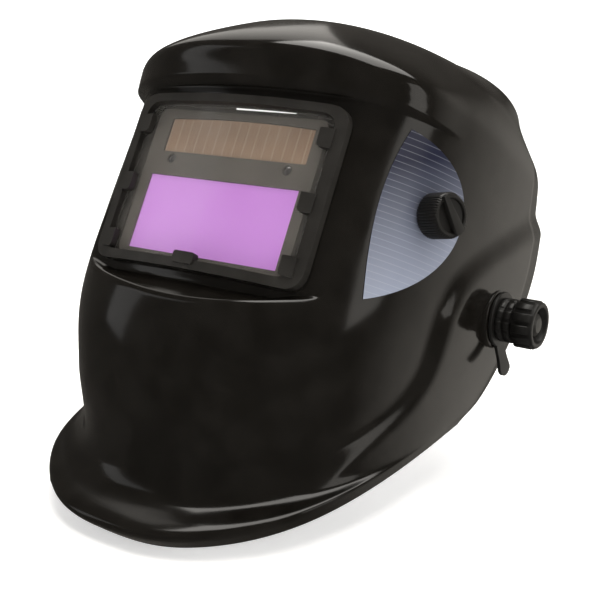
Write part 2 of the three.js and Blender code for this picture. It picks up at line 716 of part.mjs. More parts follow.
function ring(from, to, outer, inner = PIVOT.bore, segments = 28) {
  return turned([[from, inner], [from, outer], [to, outer], [to, inner], [from, inner]], segments)
}

const steel = matt('#a9aaa8', 0.32, 1)

function pivotSide(name, side) {
  const group = new THREE.Group()
  const place = (g) => (side > 0 ? g : mirrorX(g))
  const parts = [
    ['tension_knob', surfaceOf(knobBody()), plastic],
    ['pivot_collar', ring(COLLAR.from, COLLAR.to, COLLAR.radius), plastic],
    ['stop_plate', surfaceOf(stopPlate()), plastic],
    ['pivot_bolt', turned(boltProfile, 20), steel],
    ['friction_washer', ring(WASHER.from, WASHER.to, WASHER.radius), matt('#2b2b2b', 0.85)],
  ]
  for (const [kind, geometry, material] of parts) {
    const g = geometry.clone().translate(PIVOT.pad, 0, 0)
    group.add(piece(`${kind}_${name}`, place(g), material))
  }
  group.position.set(0, PIVOT.y, PIVOT.z)
  return group
}

// ---------------------------------------------------------------- head gear
// x sideways, y to the back of the head, z to the top of the head, origin on the pivot axis.
const BAND = { half: 84, front: -62, back: 36, square: 2.3, rise: 12 }

function bandPoint(a, off) {
  const c = Math.pow(Math.abs(Math.cos(a)), 2 / BAND.square)
  const s = Math.pow(Math.abs(Math.sin(a)), 2 / BAND.square) * Math.sign(a)
  return [(BAND.half + off) * s, (BAND.front - off) * c, BAND.rise * c]
}

// Plan of the front band: straight sides behind the pivot, a rounded front before it.
function bandLine(off, span, n) {
  const arc = steps(-span, span, n).map((a) => bandPoint(a, off))
  if (span < Math.PI / 2 - 0.001) return arc
  const end = [BAND.half + off, BAND.back, 0]
  return [[-end[0], end[1], end[2]], ...arc, end]
}

function upright(outer, inner, halfHeight) {
  const level = (line, k) => line.map(([x, y, z]) => [x, y, z + k * halfHeight])
  return slab([level(outer, -1), level(outer, 1)], [level(inner, -1), level(inner, 1)])
}

const REAR = { y: 137, z: -20, half: 26, slotHeight: 9 }

// Path of a rear strap, from inside the band's side to past the middle of the back.
function strapPath(layer) {
  const path = new THREE.CatmullRomCurve3([
    new THREE.Vector3(BAND.half - 7, 0, 0),
    new THREE.Vector3(BAND.half - 7, 40, -3),
    new THREE.Vector3(73, 82, -11),
    new THREE.Vector3(62, 113, -17),
    new THREE.Vector3(46, REAR.y + layer - 0.8, REAR.z),
    new THREE.Vector3(18, REAR.y + layer, REAR.z),
    new THREE.Vector3(-REAR.half, REAR.y + layer, REAR.z),
  ])
  return path.getPoints(22)
}

function rearStrap(layer) {
  const points = strapPath(layer)
  const across = points.map((p, i) => {
    const a = points[Math.max(i - 1, 0)]
    const b = points[Math.min(i + 1, points.length - 1)]
    return new THREE.Vector2(b.y - a.y, -(b.x - a.x)).normalize()
  })
  const side = (d) => points.map((p, i) => [p.x + across[i].x * d, p.y + across[i].y * d, p.z])
  const height = (p) => (p[1] < 90 ? 11 : 7.5)
  const wall = (line, k) => line.map((p) => [p[0], p[1], p[2] + k * height(p)])
  const outer = side(0.8)
  const inner = side(-0.8)
  const strap = solid(
    slab([wall(outer, -1), wall(outer, 1)], [wall(inner, -1), wall(inner, 1)]),
  )
  const slot = block(-20, 22, REAR.y + layer - 3, REAR.y + layer + 3, REAR.z - 4.4, REAR.z + 4.4)
  return strap.subtract(solid(slot))
}

function rotY(geometry) {
  return geometry.rotateZ(Math.PI / 2)
}

const housingFront = REAR.y - 6
const housingBack = REAR.y + 7.6
const housing = (() => {
  const face = plate(-33, 33, -19, 19, 9)
  const shell = extrude(face, housingBack - housingFront, 4).rotateX(Math.PI / 2)
  shell.translate(0, housingBack, REAR.z)
  const straps = block(-60, 60, REAR.y - 4.2, REAR.y + 4, REAR.z - 8.4, REAR.z + 8.4)
  const pin = rotY(rodX(housingFront + 2, housingBack + 9, 6.2, 20)).translate(0, 0, REAR.z)
  return solid(shell).subtract(solid(straps)).subtract(solid(pin))
})()

const ratchetGrip = ridged(18.5, 1.3, 18, housingBack + 0.5, housingBack + 14)
const atRear = movedTo(0, 0, REAR.z)
const ratchetKnob = solid(rotY(ratchetGrip), atRear).subtract(
  solid(rotY(rodX(housingBack - 5, housingBack + 9, 2.6, 12)), atRear),
)
const pinionWheel = rotY(ridged(3.8, 0.9, 9, REAR.y - 2, housingBack - 0.4))
const pinionPin = rotY(rodX(housingBack - 1, housingBack + 8.4, 2.2, 12))
const pinionBody = solid(pinionWheel, atRear).add(solid(pinionPin, atRear))

// Crown strap: half an arch over the head behind the pivots, its end past the top.
const CROWN = { y: 31, wide: 11, half: 86.2, high: 136, past: 0.16 }

function crownHalf(layer) {
  const line = (off) => steps(0, Math.PI / 2 + CROWN.past, 18).map((a) => {
    const c = Math.pow(Math.abs(Math.cos(a)), 2 / 2.2) * Math.sign(Math.cos(a))
    const s = Math.pow(Math.sin(a), 2 / 2.2)
    return [(CROWN.half + off + layer) * c, 0, -9 + (CROWN.high + 9 + off + layer) * s]
  })
  const outer = line(1.6)
  const inner = line(0)
  const at = (l, y) => l.map(([x, , z]) => [x, y, z])
  const y0 = CROWN.y - CROWN.wide
  const y1 = CROWN.y + CROWN.wide
  const strap = solid(slab([at(outer, y1), at(outer, y0)], [at(inner, y1), at(inner, y0)]))
  let body = strap
  for (const x of [-14, 0, 14]) {
    const hole = rodX(CROWN.high - 20, CROWN.high + 20, 2.5, 12).rotateY(-Math.PI / 2)
    body = body.subtract(solid(hole, movedTo(x, CROWN.y, 0)))
  }
  return body
}

const stud = turned([
  [-2.4, 0], [-2.4, 5], [-0.5, 5.6], [-0.5, 2.1], [4.3, 2.1], [4.3, 4.2], [6.4, 3.2], [6.8, 0],
], 16).rotateY(-Math.PI / 2)

function sideBracket() {
  const base = block(BAND.half + 1.5, BAND.half + 6, -17, 15, -13, 13)
  const bossEnd = PIVOT.pad + WASHER.from - 0.4
  const stem = turned([
    [BAND.half + 3, 0], [BAND.half + 3, 13], [bossEnd - 6, 12.4], [bossEnd, 11], [bossEnd, 0],
  ])
  const well = rodX(BAND.half - 2, BAND.half + 6.8, 8.3, 24)
  return solid(base).add(solid(stem)).subtract(solid(well)).subtract(solid(rodX(80, 130, PIVOT.bore)))
}

const foam = matt('#2a2a2c', 0.95)
const strapPlastic = matt('#202022', 0.55)
const headGroup = new THREE.Group()
headGroup.position.set(0, PIVOT.y, PIVOT.z)
headGroup.rotation.x = -HEAD_TILT
const bandFull = Math.PI / 2
const padSpan = 1.15
headGroup.add(
  piece('front_band', upright(bandLine(1, bandFull, 27), bandLine(-1, bandFull, 27), 13), strapPlastic),
  piece('brow_pad', upright(bandLine(-1.5, padSpan, 21), bandLine(-6.5, padSpan, 21), 16), foam),
  piece('rear_strap_left', surfaceOf(rearStrap(-1.5)), strapPlastic),
  piece('rear_strap_right', mirrorX(surfaceOf(rearStrap(1.8))), strapPlastic),
  piece('ratchet_housing', surfaceOf(housing), strapPlastic),
  piece('ratchet_knob', surfaceOf(ratchetKnob), plastic),
  piece('ratchet_pinion', surfaceOf(pinionBody), matt('#c9c7c0', 0.5)),
  piece('crown_strap_left', surfaceOf(crownHalf(0)), strapPlastic),
  piece('crown_strap_right', mirrorX(surfaceOf(crownHalf(2.2))), strapPlastic),
  piece('side_bracket_left', surfaceOf(sideBracket()), strapPlastic),
  piece('side_bracket_right', mirrorX(surfaceOf(sideBracket())), strapPlastic),
)
const crownStud = piece('crown_stud', stud, strapPlastic)
crownStud.position.set(0, CROWN.y, CROWN.high)
const napePad = piece(
  'nape_pad',
  extrude(plate(-31, 31, -18, 18, 10), 6, 4).rotateX(Math.PI / 2),
  foam,
)
napePad.position.set(0, housingFront - 0.4, REAR.z)
headGroup.add(crownStud, napePad)

// ---------------------------------------------------------------- the whole helmet
const printLook = matt('#5b5f86', 0.3)
const helmet = new THREE.Group()
helmet.add(
  piece('shell', surfaceOf(shellBody), black),
  windowGroup,
  dialGroup,
  piece('dial_cord', cord, matt('#1a1a1c', 0.5)),
  piece('side_print_left', printedPanel(1), printLook),
  piece('side_print_right', printedPanel(-1), printLook),
  pivotSide('left', 1),
  pivotSide('right', -1),
  headGroup,
)

// Origin: middle of the footprint, on the floor.
const box = new THREE.Box3().setFromObject(helmet, true)
helmet.position.set(0, -(box.min.y + box.max.y) / 2, -box.min.z)
export default helmet
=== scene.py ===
"""Auto-darkening welding helmet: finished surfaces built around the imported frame."""
import json
import math

import bpy
import numpy as np
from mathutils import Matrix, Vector
from mathutils.bvhtree import BVHTree


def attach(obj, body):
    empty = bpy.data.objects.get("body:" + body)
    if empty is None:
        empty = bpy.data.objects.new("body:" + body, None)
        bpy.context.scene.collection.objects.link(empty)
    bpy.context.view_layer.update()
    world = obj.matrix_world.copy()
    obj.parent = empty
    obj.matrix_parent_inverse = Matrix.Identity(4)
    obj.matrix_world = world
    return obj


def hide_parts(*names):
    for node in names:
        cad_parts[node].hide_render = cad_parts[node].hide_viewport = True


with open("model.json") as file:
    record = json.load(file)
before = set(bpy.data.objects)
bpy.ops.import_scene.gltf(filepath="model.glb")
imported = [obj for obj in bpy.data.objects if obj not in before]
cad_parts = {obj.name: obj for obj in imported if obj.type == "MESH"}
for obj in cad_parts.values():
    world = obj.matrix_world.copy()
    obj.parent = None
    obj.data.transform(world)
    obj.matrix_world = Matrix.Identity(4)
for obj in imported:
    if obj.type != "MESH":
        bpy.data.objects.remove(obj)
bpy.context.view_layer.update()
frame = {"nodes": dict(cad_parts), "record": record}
JOINTS = {joint["name"]: joint for joint in frame["record"]["behaviour"]["joints"]}
SLOTS = {part["node"]: part["material_slot"] for part in frame["record"]["subparts"]}

# ---------------------------------------------------------------- dimensions, millimetres
# The helmet's own axes start at the middle of the filter glass.
PIVOT = np.array([0.0, 105.0, -60.0])  # on the middle plane, level with the tension knobs
SHIFT = np.array(JOINTS["head_gear_tilt"]["pos_m"]) * 1000 - PIVOT
PAD = 120.9  # outer face of the pivot boss, from the middle plane
LEAN = math.radians(29.4)  # the window leans back this far
OUT = np.array([0, -math.cos(LEAN), math.sin(LEAN)])
UP = np.array([0, math.sin(LEAN), math.cos(LEAN)])
WALL = 3.2

# Side views of the shell's middle line and rear edge: share of the way from lip rim to rear
# rim, y, z.  The step line, y and z, raises the ear panel and the lip flange.
MIDDLE_LINE = [(0, -80, -150), (0.06, -90, -140), (0.14, -68, -130), (0.32, -57, -84),
               (0.5, -40, -38), (0.77, 30, 78), (0.81, 34, 90), (0.88, 72, 102), (1, 153, 84)]
REAR_EDGE = [(0, 85, -120), (0.15, 105, -113), (0.5, 147, -54), (0.82, 161, 12), (1, 155, 40)]
STEP_LINE = [(190, -12), (90, -24), (56, -44), (40, -82), (8, -104), (-70, -136)]
# Half width and squareness of the sections at the lip, the brow and the rear rim.
HALF_WIDTH = (103, 117, 105)
SQUARENESS = (2.45, 3, 2.1)
SAG = (5, 1.8)  # how far a section's leg bows down, at the lip and the chin
STEP_HEIGHT, STEP_WIDTH = 5, 13
PANEL_RADIUS, PANEL_FRONT = 295, 7
BROW_UP, BROW_OUT = 74, 6
LEDGE_TOP, LEDGE_LIP, LEDGE_RISE, LEDGE_HALF = -37, -47, 16, 80
ROW_LEDGE, ROW_BROW, COLUMN_CREASE = 0.46, 0.74, 0.55
APERTURE = (60, -27, 62)
GRID = {"low": 70, "panel": 66, "high": 60, "front": 52, "side": 56}


# ---------------------------------------------------------------- shell surface
def smooth(a, b, x):
    t = np.clip((x - a) / (b - a), 0, 1)
    return t * t * (3 - 2 * t)


def curve_through(rows, k, v):
    """Cubic through column k of the rows, with slopes weighted by spacing."""
    x = np.array([row[0] for row in rows], float)
    y = np.array([row[k] for row in rows], float)
    h = np.diff(x)
    d = np.diff(y) / h
    inner = (d[:-1] * h[1:] + d[1:] * h[:-1]) / (h[:-1] + h[1:])
    m = np.concatenate([d[:1], inner, d[-1:]])
    i = np.clip(np.searchsorted(x, v, side="right") - 1, 0, len(x) - 2)
    t = (v - x[i]) / h[i]
    u = 1 - t
    ends = y[i] * (1 + 2 * t) * u * u + y[i + 1] * t * t * (3 - 2 * t)
    return ends + m[i] * h[i] * t * u * u - m[i + 1] * h[i] * t * t * u


def half_width(v):
    lip, brow, rear = HALF_WIDTH
    return lip + (brow - lip) * smooth(0.02, 0.6, v) - (brow - rear) * smooth(0.78, 1.04, v)


def squareness(v):
    lip, brow, rear = SQUARENESS
    return lip + (brow - lip) * smooth(0.18, 0.5, v) - (brow - rear) * smooth(0.76, 0.9, v)


def sag(v):
    above_lip = smooth(0, 0.15, v)
    lip, chin = SAG
    return lip * (1 - above_lip) + chin * above_lip * (1 - smooth(0.6, 0.85, v))


def plain_point(v, t, inset):
    front = np.stack([curve_through(MIDDLE_LINE, k, v) for k in (1, 2)])
    rear = np.stack([curve_through(REAR_EDGE, k, v) for k in (1, 2)])
    length = np.hypot(*(front - rear))
    uy, uz = (front - rear) / length
    power = 2 / squareness(v)
    c = np.abs(np.cos(t * math.pi / 2)) ** power
    s = np.abs(np.sin(t * math.pi / 2)) ** power
    reach = (length - inset) * c
    g = 4 * c * (1 - c) * sag(v)
    return np.stack([(half_width(v) - inset) * s, rear[0] + uy * reach + g * uz,
                     rear[1] + uz * reach - g * uy])


def dot(p, direction):
    return p[1] * direction[1] + p[2] * direction[2]


def root(f, low, high, like):
    a = np.full(like.shape, low)
    b = np.full(like.shape, high)
    for _ in range(24):
        m = (a + b) / 2
        above = f(m) > 0
        b = np.where(above, m, b)
        a = np.where(above, a, m)
    return (a + b) / 2


def ledge_rim(x):
    return LEDGE_LIP + LEDGE_RISE * np.minimum(x / LEDGE_HALF, 1.3) ** 2


def panel_front(x, inset=0.0):
    return PANEL_FRONT - inset - x * x / (2 * PANEL_RADIUS)


def station(row, t, inset):
    def brow(v):
        return dot(plain_point(v, t, inset), UP) - BROW_UP - inset

    def ledge(v):
        p = plain_point(v, t, inset)
        return dot(p, UP) + inset - ledge_rim(p[0])

    v_ledge = root(ledge, 0.3, 0.7, t)
    v_brow = root(brow, 0.55, 0.95, t)
    middle = v_ledge + (row - ROW_LEDGE) / (ROW_BROW - ROW_LEDGE) * (v_brow - v_ledge)
    top = v_brow + (row - ROW_BROW) / (1 - ROW_BROW) * (1 - v_brow)
    return np.where(row < ROW_LEDGE, row / ROW_LEDGE * v_ledge,
                    np.where(row <= ROW_BROW, middle, top))


def crease_at(row, inset):
    held = np.clip(row, ROW_LEDGE + 0.03, ROW_BROW - 0.001)
    v = station(held, np.full(row.shape, 0.58), inset)

    def gap(t):
        p = plain_point(v, t, inset)
        return panel_front(p[0], inset) - dot(p, OUT)

    return root(gap, 0.2, 0.9, row)


def spline_points(points, per_span=12):
    """Catmull-Rom spline through the points."""
    p = np.array([points[0], *points, points[-1]], float)
    t = np.linspace(0, 1, per_span, endpoint=False)[:, None]
    spans = []
    for a, b, c, d in zip(p, p[1:], p[2:], p[3:]):
        spans.append(0.5 * (2 * b + (c - a) * t + (2 * a - 5 * b + 4 * c - d) * t ** 2
                            + (3 * b - a - 3 * c + d) * t ** 3))
    return np.vstack([*spans, p[-1:]])


def beyond_step(y, z):
    line = spline_points(STEP_LINE)
    best = np.full(y.shape, np.inf)
    side = np.ones(y.shape)
    for a, b in zip(line, line[1:]):
        d = b - a
        t = np.clip(((y - a[0]) * d[0] + (z - a[1]) * d[1]) / (d @ d), 0, 1)
        qy = y - a[0] - t * d[0]
        qz = z - a[1] - t * d[1]
        away = np.hypot(qy, qz)
        nearer = away < best
        best = np.where(nearer, away, best)
        side = np.where(nearer, np.sign(d[0] * qz - d[1] * qy), side)
    return best * side


def shell_points(row, col, over, inset):
    row, col = np.broadcast_arrays(row[:, None].astype(float), col[None].astype(float))
    crease = crease_at(row, inset)
    beyond = crease + (col - COLUMN_CREASE) / (1 - COLUMN_CREASE) * (1 - crease)
    t = np.where(col <= COLUMN_CREASE, col / COLUMN_CREASE * crease, beyond)
    v = np.minimum(1, station(row, t, inset) + (0.002 if over else 0))
    p = plain_point(v, t, inset)
    raised = smooth(-STEP_WIDTH / 2, STEP_WIDTH / 2, beyond_step(p[1], p[2]))
    p[0] += raised * STEP_HEIGHT * smooth(40, 90, p[0])
    if over:
        back = dot(p, OUT)
        fade = 1 - smooth(BROW_UP + 10, BROW_UP + 50, dot(p, UP))
        k = BROW_OUT * fade * smooth(-50, -8, back)
        r = np.hypot(p[0], back + 60)
        p[0] += k * p[0] / r
        move = k * (back + 60) / r
    else:
        rim = ledge_rim(p[0]) - inset
        sill = np.clip((dot(p, UP) - rim) / np.maximum(LEDGE_TOP - inset - rim, 3), 0, 1)
        move = -np.maximum(dot(p, OUT) - panel_front(p[0], inset), 0) * sill
    return p + move * OUT[:, None, None]


def shell_grid(inset):
    col = np.concatenate([np.linspace(0, COLUMN_CREASE, GRID["front"]),
                          np.linspace(COLUMN_CREASE, 1, GRID["side"])[1:]])
    low = np.concatenate([np.linspace(0, ROW_LEDGE, GRID["low"]),
                          np.linspace(ROW_LEDGE, ROW_BROW, GRID["panel"])[1:]])
    high = np.linspace(ROW_BROW, 1, GRID["high"])
    half = np.concatenate([shell_points(low, col, False, inset),
                           shell_points(high, col, True, inset)], axis=1)
    other = half[:, :, :0:-1] * np.array([-1, 1, 1])[:, None, None]
    return np.concatenate([other, half], axis=2).transpose(1, 2, 0)


# ---------------------------------------------------------------- mesh tools
def new_piece(name, verts, faces, body, slot, *nodes):
    """A piece from millimetre points in the helmet's own axes."""
    mesh = bpy.data.meshes.new(name)
    mesh.from_pydata(((np.asarray(verts) + SHIFT) / 1000).tolist(), [], faces)
    mesh.validate()
    mesh.polygons.foreach_set("use_smooth", [True] * len(mesh.polygons))
    piece = bpy.data.objects.new(name, mesh)
    bpy.context.scene.collection.objects.link(piece)
    piece.data.materials.append(MATERIALS[slot])
    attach(piece, body)
    if nodes:
        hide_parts(*nodes)
    return piece


def add_bevel(piece, width, segments=2):
    bevel = piece.modifiers.new("rounded edges", "BEVEL")
    bevel.width = width / 1000
    bevel.segments = segments
    bevel.limit_method = "ANGLE"
    bevel.angle_limit = math.radians(32)
    bevel.harden_normals = False


def soft_shading():
    """Node group that shades smooth except across sharp edges."""
    group = bpy.data.node_groups.new("soft_shading", "GeometryNodeTree")
    group.interface.new_socket("Geometry", in_out="INPUT", socket_type="NodeSocketGeometry")
    group.interface.new_socket("Geometry", in_out="OUTPUT", socket_type="NodeSocketGeometry")
    nodes = group.nodes
    link = group.links.new
    start = nodes.new("NodeGroupInput")
    faces = nodes.new("GeometryNodeSetShadeSmooth")
    edges = nodes.new("GeometryNodeSetShadeSmooth")
    edges.domain = "EDGE"
    edges.inputs["Shade Smooth"].default_value = False
    angle = nodes.new("GeometryNodeInputMeshEdgeAngle")
    sharp = nodes.new("FunctionNodeCompare")
    sharp.operation = "GREATER_THAN"
    sharp.inputs[1].default_value = math.radians(28)
    end = nodes.new("NodeGroupOutput")
    link(start.outputs[0], faces.inputs[0])
    link(faces.outputs[0], edges.inputs[0])
    link(angle.outputs[0], sharp.inputs[0])
    link(sharp.outputs[0], edges.inputs["Selection"])
    link(edges.outputs[0], end.inputs[0])
    return group


def strip_faces(rows, cols, start=0, closed=False):
    """Quads of a grid of points, row by row."""
    faces = []
    for i in range(rows - 1):
        for j in range(cols if closed else cols - 1):
            k = (j + 1) % cols
            a, b = start + i * cols + j, start + i * cols + k
            faces.append((a, b, b + cols, a + cols))
    return faces


def lathe(profile, radius_at, segments, centre, side=1):
    """Turned form about +X; radius_at(angle, radius) lets ribs modulate the profile."""
    turn = np.linspace(0, 2 * math.pi, segments, endpoint=False)
    verts = []
    for x, r in profile:
        ring = radius_at(turn, r)
        verts.append(np.stack([np.full(segments, side * x), ring * np.cos(turn),
                               ring * np.sin(turn)], 1))
    verts = np.vstack(verts) + centre
    faces = strip_faces(len(profile), segments, 0, True)
    faces.append(tuple(range(segments))[::-1])
    last = (len(profile) - 1) * segments
    faces.append(tuple(range(last, last + segments)))
    return verts, [f if side > 0 else f[::-1] for f in faces]


# ---------------------------------------------------------------- materials
def shader(name):
    material = bpy.data.materials.new(name)
    material.use_nodes = True
    return material, material.node_tree, material.node_tree.nodes["Principled BSDF"]


def noise(tree, scale, detail=3, stretch=(1, 1, 1)):
    coord = tree.nodes.new("ShaderNodeTexCoord")
    mapping = tree.nodes.new("ShaderNodeMapping")
    mapping.inputs["Scale"].default_value = stretch
    texture = tree.nodes.new("ShaderNodeTexNoise")
    texture.inputs["Scale"].default_value = scale
    texture.inputs["Detail"].default_value = detail
    tree.links.new(coord.outputs["Object"], mapping.inputs["Vector"])
    tree.links.new(mapping.outputs[0], texture.inputs["Vector"])
    return texture.outputs["Fac"]


def ramp(tree, source, low, high, start=0.35, end=0.65):
    node = tree.nodes.new("ShaderNodeValToRGB")
    node.color_ramp.elements[0].position = start
    node.color_ramp.elements[1].position = end
    node.color_ramp.elements[0].color = (*low, 1)
    node.color_ramp.elements[1].color = (*high, 1)
    tree.links.new(source, node.inputs[0])
    return node.outputs[0]


def bumped(tree, bsdf, source, strength, distance):
    node = tree.nodes.new("ShaderNodeBump")
    node.inputs["Strength"].default_value = strength
    node.inputs["Distance"].default_value = distance
    tree.links.new(source, node.inputs["Height"])
    tree.links.new(node.outputs[0], bsdf.inputs["Normal"])


def moulded(name, color, rough, grain=900, depth=0.00006, spread=0.06, coat=0.0, metal=0.0):
    """Moulded plastic, rubber or metal: mottled colour, uneven sheen and a fine grain."""
    material, tree, bsdf = shader(name)
    lighter = tuple(min(1, c * 1.35 + 0.002) for c in color)
    tree.links.new(ramp(tree, noise(tree, 60), color, lighter), bsdf.inputs["Base Color"])
    low, high = rough - spread, rough + spread
    tree.links.new(ramp(tree, noise(tree, 25, 6), (low,) * 3, (high,) * 3),
                   bsdf.inputs["Roughness"])
    bumped(tree, bsdf, noise(tree, grain), 0.35, depth)
    bsdf.inputs["Metallic"].default_value = metal
    bsdf.inputs["Specular IOR Level"].default_value = 0.36
    bsdf.inputs["Coat Weight"].default_value = coat
    bsdf.inputs["Coat Roughness"].default_value = 0.06
    return material


def clear_cover():
    material, tree, bsdf = shader("cover_clear")
    haze = ramp(tree, noise(tree, 30, 5, (1, 3, 1)), (0.03,) * 3, (0.07,) * 3)
    tree.links.new(haze, bsdf.inputs["Roughness"])
    bsdf.inputs["Base Color"].default_value = (0.30, 0.285, 0.265, 1)
    bsdf.inputs["Specular IOR Level"].default_value = 0.9
    bsdf.inputs["Alpha"].default_value = 0.13
    return material


def violet_glass():
    material, tree, bsdf = shader("filter_violet")
    tone = ramp(tree, noise(tree, 14, 2), (0.54, 0.20, 0.66), (0.62, 0.28, 0.76))
    tree.links.new(tone, bsdf.inputs["Base Color"])
    bsdf.inputs["Roughness"].default_value = 0.16
    bsdf.inputs["Coat Weight"].default_value = 0.3
    # painted glow: the emission makes the filter glass give off violet light of its own, though the
    # glass is no lamp
    bsdf.inputs["Emission Color"].default_value = (0.62, 0.24, 0.78, 1)
    bsdf.inputs["Emission Strength"].default_value = 0.42
    return material


def solar_strip():
    """Brown thin film with pale lines between its cells."""
    material, tree, bsdf = shader("solar_brown")
    coord = tree.nodes.new("ShaderNodeTexCoord")
    split = tree.nodes.new("ShaderNodeSeparateXYZ")
    tree.links.new(coord.outputs["Object"], split.inputs[0])
    cells = math_node(tree, "MULTIPLY", split.outputs["X"], 1 / 0.0066)
    share = math_node(tree, "FRACT", cells)
    line = math_node(tree, "LESS_THAN", share, 0.05)
    mix = tree.nodes.new("ShaderNodeMix")
    mix.data_type = "RGBA"
    tree.links.new(line, mix.inputs["Factor"])
    tone = ramp(tree, noise(tree, 45), (0.36, 0.225, 0.14), (0.44, 0.29, 0.19))
    tree.links.new(tone, mix.inputs["A"])
    mix.inputs["B"].default_value = (0.6, 0.48, 0.36, 1)
    tree.links.new(mix.outputs["Result"], bsdf.inputs["Base Color"])
    bsdf.inputs["Roughness"].default_value = 0.3
    return material


def math_node(tree, operation, a, b=0.0, clamp=False):
    node = tree.nodes.new("ShaderNodeMath")
    node.operation = operation
    node.use_clamp = clamp
    for socket, value in zip(node.inputs, (a, b)):
        if hasattr(value, "links"):
            tree.links.new(value, socket)
        else:
            socket.default_value = value
    return node.outputs[0]


HAIRLINES = 260  # printed hairlines per metre of height


def printed_film():
    """Plain blue print that pales downwards, with fine slanting hairlines."""
    material, tree, bsdf = shader("print_blue")
    coord = tree.nodes.new("ShaderNodeTexCoord")
    split = tree.nodes.new("ShaderNodeSeparateXYZ")
    tree.links.new(coord.outputs["Object"], split.inputs[0])
    height = math_node(tree, "SUBTRACT", split.outputs["Z"], (SHIFT[2] - 30) / 1000)
    share = math_node(tree, "MULTIPLY", height, 1 / 0.08, True)
    fade = ramp(tree, share, (0.30, 0.33, 0.42), (0.016, 0.018, 0.038), 0.0, 0.8)
    slant = math_node(tree, "ADD", height, math_node(tree, "MULTIPLY", split.outputs["Y"], 0.5))
    count = math_node(tree, "MULTIPLY", slant, HAIRLINES)
    line = math_node(tree, "LESS_THAN", math_node(tree, "FRACT", count), 0.12)
    mix = tree.nodes.new("ShaderNodeMix")
    mix.data_type = "RGBA"
    tree.links.new(math_node(tree, "MULTIPLY", line, 0.16), mix.inputs["Factor"])
    tree.links.new(fade, mix.inputs["A"])
    mix.inputs["B"].default_value = (0.55, 0.58, 0.66, 1)
    tree.links.new(mix.outputs["Result"], bsdf.inputs["Base Color"])
    bsdf.inputs["Specular IOR Level"].default_value = 0.2
    gloss = ramp(tree, noise(tree, 40), (0.18,) * 3, (0.27,) * 3)
    tree.links.new(gloss, bsdf.inputs["Roughness"])
    return material


def foam_fabric():
    material, tree, bsdf = shader("pad_foam")
    tone = ramp(tree, noise(tree, 120), (0.016, 0.016, 0.018), (0.034, 0.034, 0.037))
    tree.links.new(tone, bsdf.inputs["Base Color"])
    bsdf.inputs["Roughness"].default_value = 0.92
    bsdf.inputs["Sheen Weight"].default_value = 0.35
    weave = tree.nodes.new("ShaderNodeTexVoronoi")
    weave.inputs["Scale"].default_value = 750
    coord = tree.nodes.new("ShaderNodeTexCoord")
    tree.links.new(coord.outputs["Object"], weave.inputs["Vector"])
    bumped(tree, bsdf, weave.outputs["Distance"], 0.7, 0.0003)
    return material


MATERIALS = {
    "shell_gloss": moulded("shell_gloss", (0.0058, 0.0050, 0.0040), 0.13, 260, 0.000012, 0.03),
    "frame_matt": moulded("frame_matt", (0.019, 0.0175, 0.0155), 0.42),
    "case_grey": moulded("case_grey", (0.085, 0.076, 0.066), 0.52),
    "sensor_dark": moulded("sensor_dark", (0.02, 0.02, 0.024), 0.14, 400, 0.00002, 0.03, 0.8),
    "dial_grey": moulded("dial_grey", (0.05, 0.05, 0.048), 0.5),
    "knob_matt": moulded("knob_matt", (0.0085, 0.008, 0.0072), 0.44, 1100, 0.00005),
    "steel": moulded("steel", (0.10, 0.10, 0.098), 0.5, 500, 0.00002, 0.08, 0, 1.0),
    "cord_black": moulded("cord_black", (0.015, 0.015, 0.016), 0.6),
    "washer_rubber": moulded("washer_rubber", (0.02, 0.02, 0.02), 0.8, 700, 0.0001),
    "strap_black": moulded("strap_black", (0.02, 0.02, 0.021), 0.46, 800, 0.00008),
    "gear_white": moulded("gear_white", (0.6, 0.59, 0.55), 0.4),
    "cover_clear": clear_cover(),
    "filter_violet": violet_glass(),
    "solar_brown": solar_strip(),
    "print_blue": printed_film(),
    "pad_foam": foam_fabric(),
}


# ---------------------------------------------------------------- shell
def in_aperture(points):
    across = np.abs(points[..., 0])
    up = points[..., 1] * UP[1] + points[..., 2] * UP[2]
    out = points[..., 1] * OUT[1] + points[..., 2] * OUT[2]
    half, low, high = APERTURE
    return (across < half) & (up > low) & (up < high) & (out > -12)


def build_shell():
    outer, inner = shell_grid(0.0), shell_grid(WALL)
    hole = in_aperture(outer)
    keep = ~(hole[:-1, :-1] & hole[1:, :-1] & hole[:-1, 1:] & hole[1:, 1:])
    verts, faces = closed_slab(outer, inner, keep)
    new_piece("shell_moulding", verts, faces, "shell_body", "shell_gloss", "shell")
    return outer


def closed_slab(outer, inner, keep=None):
    """Closed wall between two equal grids of points, without the cells that aren't kept."""
    rows, cols = outer.shape[:2]
    if keep is None:
        keep = np.ones((rows - 1, cols - 1), bool)
    size = rows * cols
    faces = []
    for i, j in zip(*np.nonzero(keep)):
        a = int(i * cols + j)
        quad = (a, a + 1, a + cols + 1, a + cols)
        faces.append(quad)
        faces.append(tuple(size + k for k in quad[::-1]))
    verts = np.vstack([outer.reshape(-1, 3), inner.reshape(-1, 3)])
    return verts, faces + rim_faces(keep, cols, size)


def rim_faces(keep, cols, size):
    """Walls between the outer and inner skins wherever a kept cell has no neighbour."""
    rows_kept, cols_kept = keep.shape
    steps = (((-1, 0), 1, 0), ((0, 1), cols + 1, 1), ((1, 0), cols, cols + 1), ((0, -1), 0, cols))
    faces = []
    for i, j in zip(*np.nonzero(keep)):
        for (di, dj), first, second in steps:
            ni, nj = i + di, j + dj
            if 0 <= ni < rows_kept and 0 <= nj < cols_kept and keep[ni, nj]:
                continue
            a, b = int(i * cols + j + first), int(i * cols + j + second)
            faces.append((a, b, size + b, size + a))
    return faces


def pivot_boss(side, name):
    profile = [(PAD - 6.8, 4.4), (PAD - 6.8, 17), (PAD - 0.6, 17), (PAD, 16.4), (PAD, 4.4)]
    verts, faces = lathe(profile, lambda turn, r: np.full(turn.shape, float(r)), 96, PIVOT, side)
    return new_piece(f"pivot_boss_{name}", verts, faces[:-2], "shell_body", "shell_gloss")


